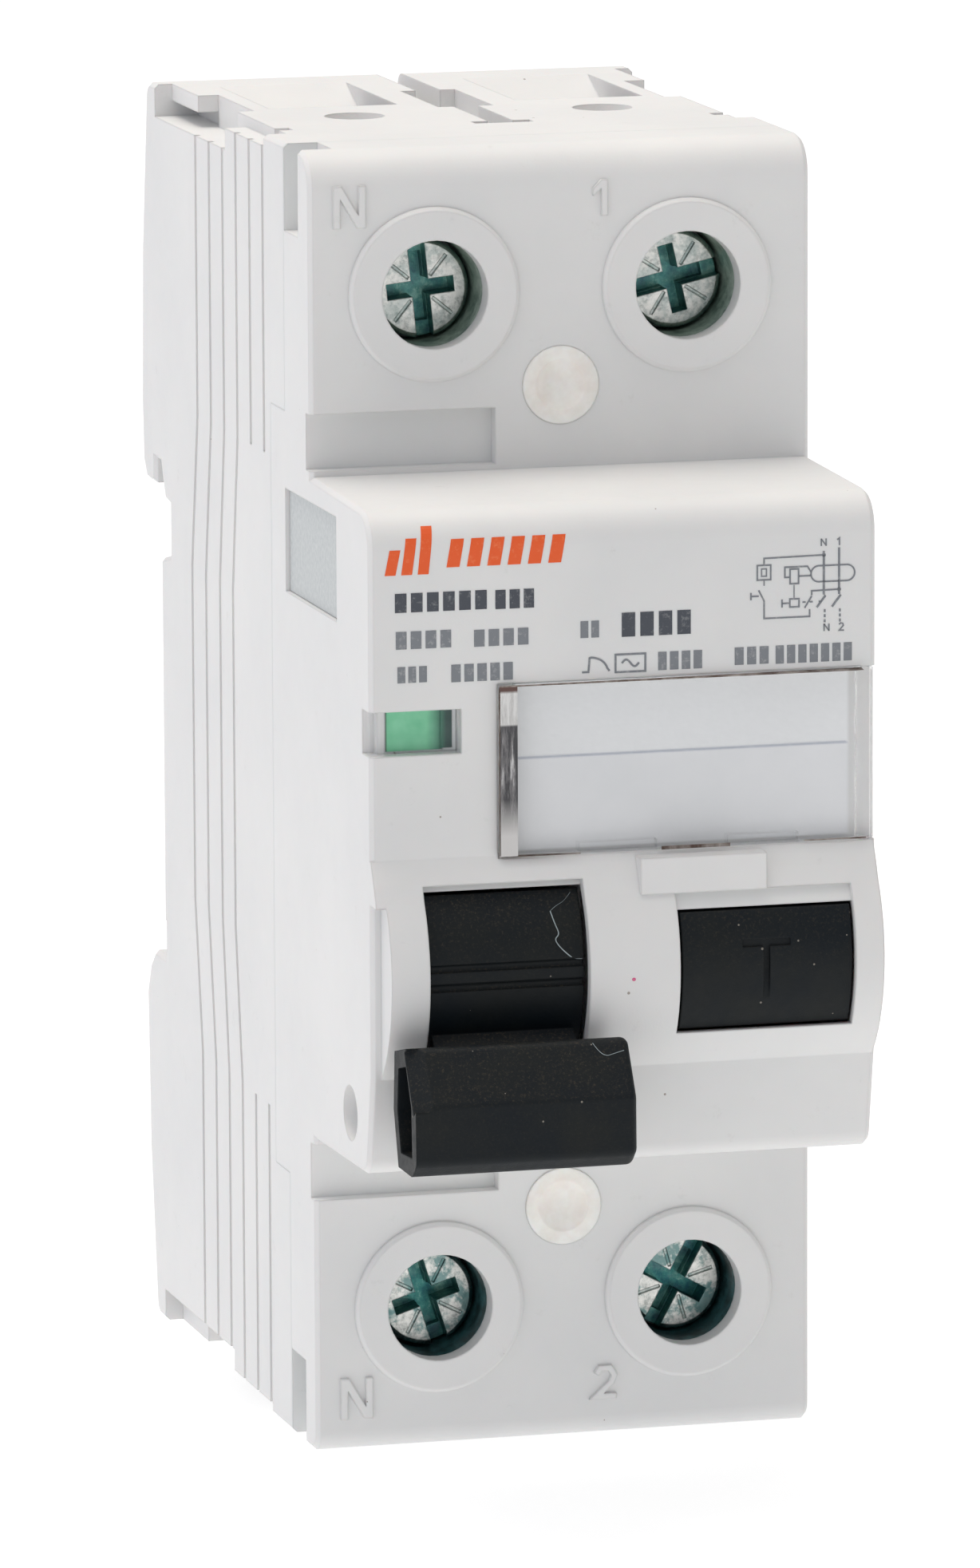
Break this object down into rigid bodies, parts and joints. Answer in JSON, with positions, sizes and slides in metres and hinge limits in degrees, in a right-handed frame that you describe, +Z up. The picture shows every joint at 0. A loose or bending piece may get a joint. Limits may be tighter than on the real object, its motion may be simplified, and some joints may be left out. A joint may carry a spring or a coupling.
{
  "type": "residual current device",
  "caption": "Rail-mounted residual current device with a rocking toggle, test button, contact flag, clear label cover and screw terminals at both ends, shown switched off.",
  "frame": {"origin": "centre of the flat back face that rests on the mounting rail", "axes": "+X to the right seen from the front, +Y to the rail at the back, +Z up, front faces -Y"},
  "size_m": [0.0356, 0.0736, 0.0906],
  "materials": {
    "white_shell": "light grey moulded thermoplastic, fine satin grain",
    "plug_plastic": "cream plastic, slightly translucent",
    "grey_plastic": "pale blue-grey plastic",
    "black_plastic": "black moulded plastic",
    "clear_plastic": "clear polycarbonate",
    "green_flag": "green plastic",
    "red_flag": "red plastic",
    "label_paper": "pale label paper",
    "zinc_steel": "zinc plated steel",
    "steel": "plain steel",
    "copper": "copper strip",
    "silver_contact": "silver alloy",
    "dark_plastic": "dark brown thermoset",
    "core_metal": "nanocrystalline tape",
    "enamel_wire": "enamelled copper wire",
    "blue_insulation": "blue insulation",
    "brown_insulation": "brown insulation",
    "board_green": "green circuit board",
    "part_black": "electronic parts",
    "resistor_body": "beige lacquered resistor"
  },
  "bodies": {
    "housing": {"arc_plates_left": "steel", "arc_plates_right": "steel", "assembly_screws": "zinc_steel", "base_housing": "white_shell", "board_parts": "part_black", "button_guide": "dark_plastic", "carrier_pin": "steel", "clip_spring": "steel", "filter_board": "board_green", "fixed_contact_tips": "silver_contact", "flexible_lead_left": "copper", "flexible_lead_right": "copper", "front_cover": "white_shell", "indicator_window": "clear_plastic", "label_strip": "label_paper", "lower_bar_left": "copper", "lower_bar_right": "copper", "mechanism_frame": "steel", "primary_conductor_left": "blue_insulation", "primary_conductor_right": "brown_insulation", "relay_case": "dark_plastic", "relay_coil": "enamel_wire", "relay_lid": "dark_plastic", "relay_yoke": "steel", "seal_plugs": "plug_plastic", "side_port_cover": "grey_plastic", "test_contact": "steel", "test_resistor": "resistor_body", "test_spring": "steel", "toggle_pin": "steel", "toroid_case": "dark_plastic", "toroid_core": "core_metal", "toroid_lid": "dark_plastic", "toroid_winding": "enamel_wire", "trip_lever_pin": "steel", "trip_spring": "steel", "upper_bar_left": "copper", "upper_bar_right": "copper", "well_sleeves": "zinc_steel"},
    "toggle": {"toggle_lever": "black_plastic"},
    "link": {"drive_link": "steel"},
    "carrier": {"contact_carrier": "black_plastic", "contact_arm_left": "copper", "contact_arm_right": "copper", "moving_contact_tips": "silver_contact"},
    "indicator": {"indicator_flag": "red_flag", "indicator_green_field": "green_flag"},
    "test_button": {"test_button": "black_plastic"},
    "label_lid": {"label_cover": "clear_plastic"},
    "rail_clip": {"rail_clip": "dark_plastic"},
    "relay_plunger": {"relay_plunger": "steel"},
    "trip_lever": {"trip_lever": "dark_plastic"},
    "screw_upper_left": {"terminal_screw_upper_left": "zinc_steel"},
    "cage_upper_left": {"terminal_cage_upper_left": "zinc_steel"},
    "screw_upper_right": {"terminal_screw_upper_right": "zinc_steel"},
    "cage_upper_right": {"terminal_cage_upper_right": "zinc_steel"},
    "screw_lower_left": {"terminal_screw_lower_left": "zinc_steel"},
    "cage_lower_left": {"terminal_cage_lower_left": "zinc_steel"},
    "screw_lower_right": {"terminal_screw_lower_right": "zinc_steel"},
    "cage_lower_right": {"terminal_cage_lower_right": "zinc_steel"}
  },
  "joints": [
    {"name": "toggle_swing", "type": "hinge", "parent": "housing", "child": "toggle", "pos_m": [-0.009, -0.0526, -0.0089], "axis": [-1, 0, 0], "range_deg": [0, 64]},
    {"name": "link_pivot", "type": "hinge", "parent": "toggle", "child": "link", "pos_m": [-0.009, -0.04751, -0.00572], "axis": [-1, 0, 0], "range_deg": [-64.5, 0.5]},
    {"name": "contact_swing", "type": "hinge", "parent": "housing", "child": "carrier", "pos_m": [0, -0.0105, 0.002], "axis": [1, 0, 0], "range_deg": [-0.2, 20.2], "deforming": ["flexible_lead_left", "flexible_lead_right"]},
    {"name": "flag_slide", "type": "slide", "parent": "housing", "child": "indicator", "axis": [0, 0, 1], "range_m": [-0.00005, 0.00305]},
    {"name": "test_press", "type": "slide", "parent": "housing", "child": "test_button", "axis": [0, 1, 0], "range_m": [0, 0.0025], "stiffness_N_per_m": 600, "deforming": ["test_spring", "test_contact"]},
    {"name": "label_lid_swing", "type": "hinge", "parent": "housing", "child": "label_lid", "pos_m": [0.0171, -0.05915, 0.0049], "axis": [0, 0, 1], "range_deg": [0, 105]},
    {"name": "rail_clip_slide", "type": "slide", "parent": "housing", "child": "rail_clip", "axis": [0, 0, -1], "range_m": [0, 0.0025], "stiffness_N_per_m": 1500, "deforming": ["clip_spring"]},
    {"name": "relay_plunger_slide", "type": "slide", "parent": "housing", "child": "relay_plunger", "axis": [0, -1, 0], "range_m": [0, 0.00105], "stiffness_N_per_m": 150},
    {"name": "trip_lever_swing", "type": "hinge", "parent": "housing", "child": "trip_lever", "pos_m": [-0.009, -0.04, -0.0125], "axis": [-1, 0, 0], "range_deg": [-0.2, 9.2], "deforming": ["trip_spring"]},
    {"name": "screw_turn_upper_left", "type": "hinge", "parent": "housing", "child": "screw_upper_left", "pos_m": [-0.009, -0.033, 0.0354], "axis": [0, 1, 0], "range_deg": [-5, 2885]},
    {"name": "cage_lift_upper_left", "type": "slide", "parent": "housing", "child": "cage_upper_left", "axis": [0, -1, 0], "range_m": [0, 0.0064]},
    {"name": "screw_turn_upper_right", "type": "hinge", "parent": "housing", "child": "screw_upper_right", "pos_m": [0.009, -0.033, 0.0354], "axis": [0, 1, 0], "range_deg": [-5, 2885]},
    {"name": "cage_lift_upper_right", "type": "slide", "parent": "housing", "child": "cage_upper_right", "axis": [0, -1, 0], "range_m": [0, 0.0064]},
    {"name": "screw_turn_lower_left", "type": "hinge", "parent": "housing", "child": "screw_lower_left", "pos_m": [-0.009, -0.033, -0.0354], "axis": [0, 1, 0], "range_deg": [-5, 2885]},
    {"name": "cage_lift_lower_left", "type": "slide", "parent": "housing", "child": "cage_lower_left", "axis": [0, -1, 0], "range_m": [0, 0.0064]},
    {"name": "screw_turn_lower_right", "type": "hinge", "parent": "housing", "child": "screw_lower_right", "pos_m": [0.009, -0.033, -0.0354], "axis": [0, 1, 0], "range_deg": [-5, 2885]},
    {"name": "cage_lift_lower_right", "type": "slide", "parent": "housing", "child": "cage_lower_right", "axis": [0, -1, 0], "range_m": [0, 0.0064]}
  ],
  "couplings": [
    {"joint": "link_pivot", "follows": "toggle_swing", "ratio": -1},
    {"joint": "contact_swing", "follows": "toggle_swing", "ratio": 0.3125},
    {"joint": "flag_slide", "follows": "toggle_swing", "m_per_rad": 0.0026857},
    {"joint": "trip_lever_swing", "follows": "relay_plunger_slide", "rad_per_m": 149.6},
    {"joint": "screw_turn_upper_left", "follows": "cage_lift_upper_left", "rad_per_m": 7854},
    {"joint": "screw_turn_upper_right", "follows": "cage_lift_upper_right", "rad_per_m": 7854},
    {"joint": "screw_turn_lower_left", "follows": "cage_lift_lower_left", "rad_per_m": 7854},
    {"joint": "screw_turn_lower_right", "follows": "cage_lift_lower_right", "rad_per_m": 7854}
  ]
}
